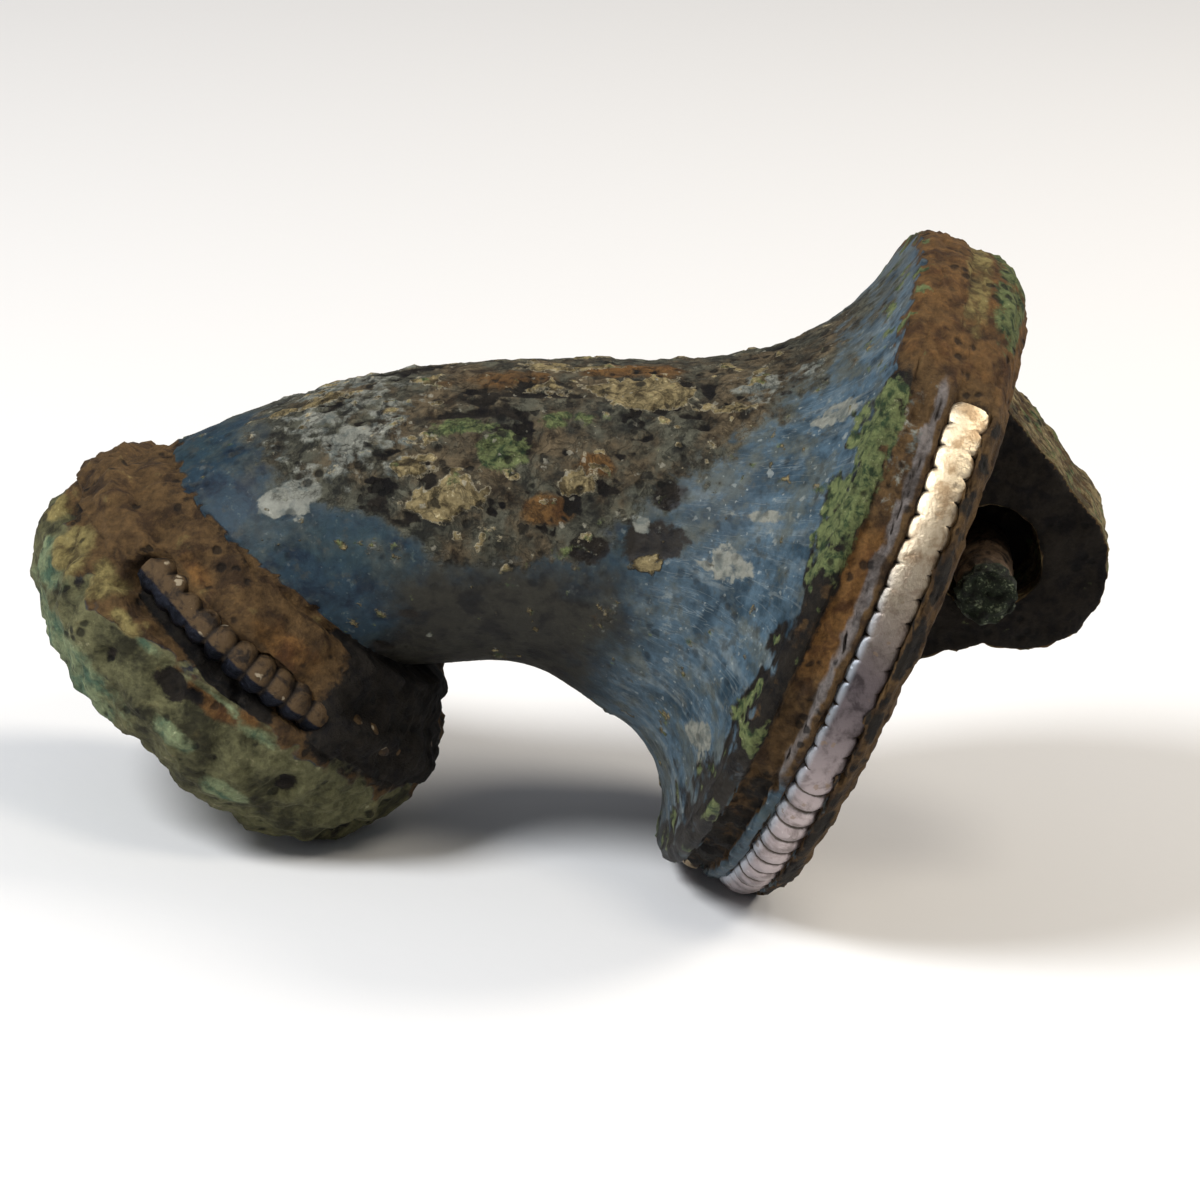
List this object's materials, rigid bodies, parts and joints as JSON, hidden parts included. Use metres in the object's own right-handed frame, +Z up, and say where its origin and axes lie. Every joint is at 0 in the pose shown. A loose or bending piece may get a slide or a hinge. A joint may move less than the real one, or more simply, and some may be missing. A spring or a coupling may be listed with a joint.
{
  "type": "brooch fragment",
  "caption": "Broken bow of a bronze brooch: round grooved knob, arched bow flaring into a trumpet-shaped head with a silver-wired rim and a perforated lug behind.",
  "frame": {"origin": "on the ground it stands on, below the middle of its bounding box", "axes": "+X from the knob to the head and lug, +Y across to the far side, +Z up"},
  "size_m": [0.0322, 0.0206, 0.0201],
  "materials": {
    "bronze": "matt blue-grey patina with brown soil",
    "silver": "worn bright silver",
    "dark_silver": "tarnished silver with soil",
    "corroded": "rough green and brown corrosion"
  },
  "bodies": {
    "root": {"bow": "bronze", "rim_wire": "silver", "front_rim_wire": "silver", "knob_wire": "dark_silver", "spring_pin": "corroded"}
  },
  "joints": []
}
